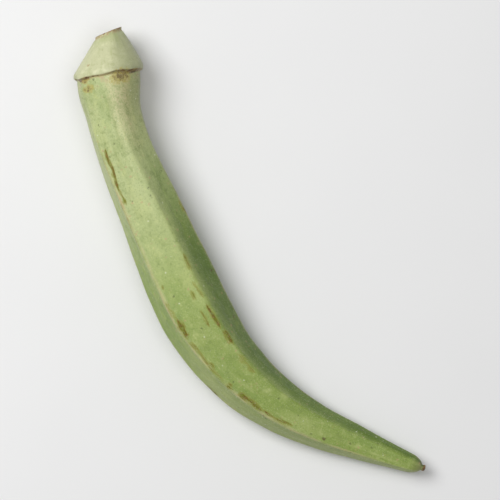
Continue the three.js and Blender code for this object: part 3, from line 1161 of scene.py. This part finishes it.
def down_mesh(look, skin):
    """Hairs rooted in the skin: slim pyramids that lean to the tip, thickest on the ribs and neck."""
    draw = np.random.default_rng(DOWN_SEED)
    around = len(RIB_ANGLES) * SKIN_STEPS
    rows = len(skin_stations())
    co = np.empty(len(skin.data.vertices) * 3)
    skin.data.vertices.foreach_get("co", co)
    grid = co.reshape(-1, 3)[: rows * around].reshape(rows, around, 3) / MM
    crest = np.empty(len(skin.data.vertices))
    skin.data.attributes["crest"].data.foreach_get("value", crest)
    crest = crest[: rows * around].reshape(rows, around)

    # Cells of the skin are drawn by their area, and more often on the crests and next to the ring
    along = grid[1:] - grid[:-1]
    across = np.roll(grid, -1, axis=1)[:-1] - grid[:-1]
    normal = np.cross(across, along)
    area = np.linalg.norm(normal, axis=-1)
    stations = skin_stations()[:-1, None]
    near_neck = bell(stations - RING_AT - NECK_DOWN_FROM, NECK_DOWN_WIDTH)
    weight = area * (DOWN_ON_FACES + crest[:-1] + DOWN_AT_NECK * near_neck)
    weight = weight * (stations > STUMP_LENGTH) * (stations < POD_LENGTH - BARE_TIP)
    weight = weight * (grid[:-1, :, 2] > BARE_UNDER) * np.where(stations < RING_AT, DOWN_ON_CAP, 1)
    weight[0] = 0
    cells = draw.choice(weight.size, look.count, p=weight.ravel() / weight.sum())
    row, column = np.unravel_index(cells, weight.shape)

    lengthwise = along[row, column] / np.linalg.norm(along[row, column], axis=-1, keepdims=True)
    outwards = normal[row, column] / area[row, column, None]
    sideways = np.cross(outwards, lengthwise)
    root = grid[row, column] + along[row, column] * draw.random((look.count, 1))
    root = root + across[row, column] * draw.random((look.count, 1)) - HAIR_ROOT * outwards
    lean = outwards + HAIR_LEAN * lengthwise + HAIR_SPREAD * draw.normal(size=(look.count, 3))
    lean = lean / np.linalg.norm(lean, axis=-1, keepdims=True)
    length = look.length / MM * draw.uniform(HAIR_SHORTEST, HAIR_LONGEST, (look.count, 1))
    tips = root + lean * length * mix(ON_FACE_LENGTH, ON_CREST_LENGTH, crest[row, column])[:, None]

    half = HAIR_WIDTH / 2
    turns = [(math.cos(turn), math.sin(turn)) for turn in HAIR_CORNERS]
    corners = [root + half * (cosine * lengthwise + sine * sideways) for cosine, sine in turns]
    points = np.stack([*corners, tips], axis=1)
    points[..., 2] = np.maximum(points[..., 2], OFF_TABLE)
    first = np.arange(look.count)[:, None] * 4
    sides = np.array([[0, 1, 3], [1, 2, 3], [2, 0, 3]])
    faces = (first[:, :, None] + sides[None]).reshape(-1, 3)
    height = np.tile([0.0, 0.0, 0.0, 1.0], look.count)
    return points.reshape(-1, 3), faces.tolist(), {"height": height}


def down_material(look):
    graph = Graph("okra_down", roughness=0.6, specular=0.3)
    color = graph.ramp(graph.attribute("height"), [(0, HAIR_FOOT), (1, as_seen(look.color))])
    warm = graph.noise(graph.millimetres(), 3, detail=2)
    return graph.finish(graph.over(color, HAIR_WARM, graph.band(warm, 0.5, 0.7, 0, 0.5)))


class OkraDownLook(bpy.types.PropertyGroup):
    color: color_property("Hair", "Colour of the hairs' ends", (230, 232, 206))
    length: amount_property("Length", "Usual length of a hair", 0.42 * MM, max=2 * MM, unit="LENGTH")
    count: bpy.props.IntProperty(
        name="Count", description="How many hairs are drawn", default=36000, min=0, max=60000
    )


class OKRA_OT_down(bpy.types.Operator):
    """Build the short down on the skin, which has to be there first"""

    bl_idname = "okra.down"
    bl_label = "Down"

    def execute(self, context):
        look = context.scene.okra_down
        skin = bpy.data.objects.get("okra_skin")
        if skin is None:
            raise RuntimeError("Build the skin before its down")
        points, faces, features = down_mesh(look, skin)
        add_mesh("okra_down", points, faces, down_material(look), features)
        return {"FINISHED"}


# Stage, whose sizes and places are in metres

VIEW_TURN = 54.4
LENS = 300
SENSOR = 36
MARGIN = 1.13
NEAR_CLIP = 0.01
FLOOR_SIZE = 3.0
FLOOR_DROP = 0.05 * MM
CLOUD_SIZE = 0.05
CLOUD_SHADE = 0.992

# Lights, as (to the photograph's right, to its top, up) from the middle of the pod, and their widths
LIT_HEIGHT = 0.008
KEY_PLACE, KEY_SIZE = (-0.32, 0.2, 0.5), 0.4
FILL_PLACE, FILL_SIZE = (0.1, 0, 0.75), 0.6


class OkraStage(bpy.types.PropertyGroup):
    floor: color_property("Floor", "Colour of the surface that the pod lies on", (232, 232, 232))
    key_power: amount_property("Key light", "Power of the soft light at the left", 2.9, unit="POWER")
    fill_power: amount_property("Fill light", "Power of the soft light overhead", 1.55, unit="POWER")
    room: amount_property("Room light", "Strength of the even light from all round", 0.25, max=2)


def add_light(name, position, target, size, power):
    lamp = bpy.data.lights.new(name, "AREA")
    lamp.shape = "DISK"
    lamp.size = size
    lamp.energy = power
    light = bpy.data.objects.new(name, lamp)
    light.location = position
    light.rotation_euler = (Vector(target) - Vector(position)).to_track_quat("-Z", "Y").to_euler()
    bpy.context.scene.collection.objects.link(light)


def floor_material(look):
    graph = Graph("pale_floor", roughness=0.6, specular=0.3)
    place = graph.node("ShaderNodeTexCoord").outputs["Object"]
    cloud = graph.noise(place, CLOUD_SIZE, detail=2)
    base = as_seen(look.floor)
    color = graph.ramp(cloud, [(0.3, base), (0.7, [value * CLOUD_SHADE for value in base])])
    return graph.finish(color)


class OKRA_OT_stage(bpy.types.Operator):
    """Build the floor, the soft lights and the camera, which looks straight down as the photograph does"""

    bl_idname = "okra.stage"
    bl_label = "Stage"

    def execute(self, context):
        look = context.scene.okra_stage
        turn = math.radians(VIEW_TURN)
        right = Vector((math.cos(turn), math.sin(turn), 0))
        up = Vector((-math.sin(turn), math.cos(turn), 0))

        seen = [vertex.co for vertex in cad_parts[NODE].data.vertices]
        sides = [point.dot(right) for point in seen]
        heights = [point.dot(up) for point in seen]
        middle = right * (min(sides) + max(sides)) / 2 + up * (min(heights) + max(heights)) / 2
        reach = max(max(sides) - min(sides), max(heights) - min(heights)) * MARGIN

        camera = bpy.data.objects.new("camera", bpy.data.cameras.new("camera"))
        camera.data.lens = LENS
        camera.data.sensor_width = SENSOR
        camera.data.clip_start = NEAR_CLIP
        camera.location = middle + Vector((0, 0, reach * LENS / SENSOR))
        camera.rotation_euler = (0, 0, turn)
        context.scene.collection.objects.link(camera)
        context.scene.camera = camera

        half = FLOOR_SIZE / 2
        mesh = bpy.data.meshes.new("floor")
        corners = [(x * half, y * half, 0) for x, y in ((-1, -1), (1, -1), (1, 1), (-1, 1))]
        mesh.from_pydata(corners, [], [(0, 1, 2, 3)])
        mesh.materials.append(floor_material(look))
        floor = bpy.data.objects.new("floor", mesh)
        floor.location.z = -FLOOR_DROP
        context.scene.collection.objects.link(floor)

        centre = Vector((0, 0, LIT_HEIGHT))
        lights = [
            ("key_light", KEY_PLACE, KEY_SIZE, look.key_power),
            ("fill_light", FILL_PLACE, FILL_SIZE, look.fill_power),
        ]
        for name, (across, onward, height), size, power in lights:
            position = centre + right * across + up * onward + Vector((0, 0, height))
            add_light(name, position, centre, size, power)

        world = bpy.data.worlds.new("soft_room")
        world.use_nodes = True
        background = world.node_tree.nodes["Background"]
        background.inputs["Color"].default_value = (1, 1, 1, 1)
        background.inputs["Strength"].default_value = look.room
        context.scene.world = world
        context.scene.view_settings.view_transform = "Standard"
        return {"FINISHED"}


# Sidebar and registration


class OKRA_PT_panel(bpy.types.Panel):
    """Lists the pod's pieces and their settings"""

    bl_idname = "OKRA_PT_panel"
    bl_label = "Okra pod"
    bl_space_type = "VIEW_3D"
    bl_region_type = "UI"
    bl_category = "Okra"

    def draw(self, context):
        for operator, settings, group in STEPS:
            box = self.layout.box()
            box.operator(operator.bl_idname)
            for key in group.__annotations__:
                box.prop(getattr(context.scene, settings), key)


STEPS = [
    (OKRA_OT_skin, "okra_skin", OkraSkinLook),
    (OKRA_OT_ring_scar, "okra_scar", OkraScarLook),
    (OKRA_OT_cut, "okra_cut", OkraCutLook),
    (OKRA_OT_nib, "okra_nib", OkraNibLook),
    (OKRA_OT_down, "okra_down", OkraDownLook),
    (OKRA_OT_stage, "okra_stage", OkraStage),
]


def register():
    for operator, settings, group in STEPS:
        bpy.utils.register_class(group)
        setattr(bpy.types.Scene, settings, bpy.props.PointerProperty(type=group))
        bpy.utils.register_class(operator)
    bpy.utils.register_class(OKRA_PT_panel)


def unregister():
    bpy.utils.unregister_class(OKRA_PT_panel)
    for operator, settings, group in reversed(STEPS):
        bpy.utils.unregister_class(operator)
        delattr(bpy.types.Scene, settings)
        bpy.utils.unregister_class(group)


def main():
    register()
    bpy.ops.okra.skin()
    bpy.ops.okra.ring_scar()
    bpy.ops.okra.cut()
    bpy.ops.okra.nib()
    bpy.ops.okra.down()
    bpy.ops.okra.stage()


if __name__ == "__main__":
    main()
